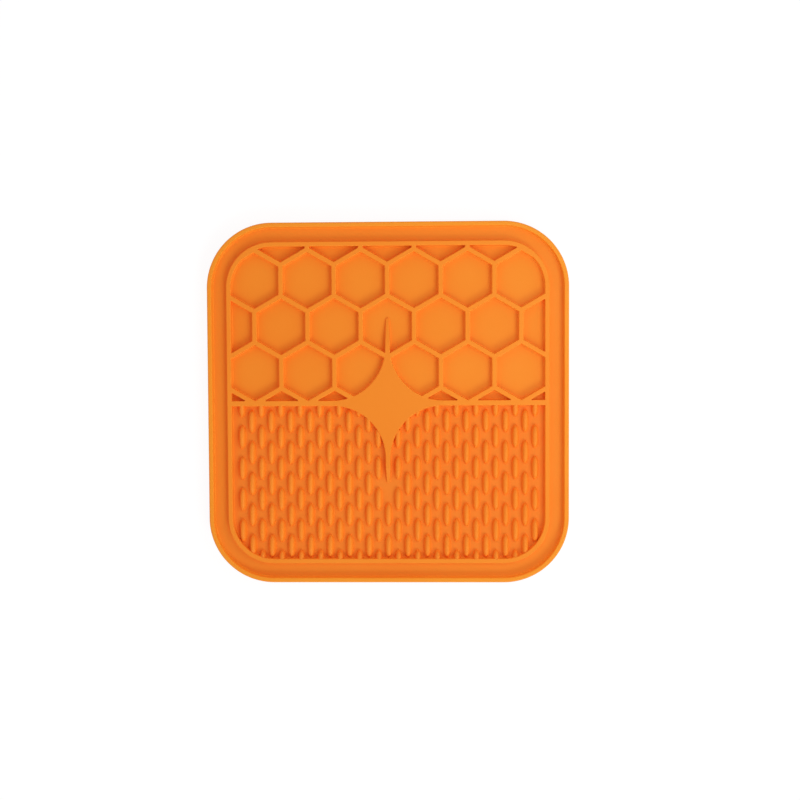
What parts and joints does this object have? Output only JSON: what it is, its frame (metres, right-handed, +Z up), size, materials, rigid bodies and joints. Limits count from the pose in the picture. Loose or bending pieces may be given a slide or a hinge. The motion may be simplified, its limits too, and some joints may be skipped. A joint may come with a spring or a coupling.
{
  "type": "lick mat",
  "caption": "Square silicone lick mat with raised rim, catch channel, honeycomb cells, staggered licking ridges, a central star and suction cups underneath, for slow feeding of pets.",
  "frame": {"origin": "middle of the floor plane that the suction cups' lips stand on", "axes": "+Z up through the licking side, +Y from the ridge half towards the honeycomb half, +X to the right"},
  "size_m": [0.2, 0.2, 0.01],
  "materials": {
    "silicone": "matte"
  },
  "bodies": {
    "root": {"base_sheet": "silicone", "divider_left": "silicone", "divider_right": "silicone", "frame_rib": "silicone", "honeycomb_ribs": "silicone", "outer_rim": "silicone", "ridge_row_01": "silicone", "ridge_row_02": "silicone", "ridge_row_03": "silicone", "ridge_row_04": "silicone", "ridge_row_05": "silicone", "ridge_row_06": "silicone", "ridge_row_07": "silicone", "ridge_row_08": "silicone", "ridge_row_09": "silicone", "ridge_row_10": "silicone", "ridge_row_11": "silicone", "star_boss": "silicone", "suction_cup_1_1": "silicone", "suction_cup_1_2": "silicone", "suction_cup_1_3": "silicone", "suction_cup_1_4": "silicone", "suction_cup_2_1": "silicone", "suction_cup_2_2": "silicone", "suction_cup_2_3": "silicone", "suction_cup_2_4": "silicone", "suction_cup_3_1": "silicone", "suction_cup_3_2": "silicone", "suction_cup_3_3": "silicone", "suction_cup_3_4": "silicone", "suction_cup_4_1": "silicone", "suction_cup_4_2": "silicone", "suction_cup_4_3": "silicone", "suction_cup_4_4": "silicone"}
  },
  "joints": []
}
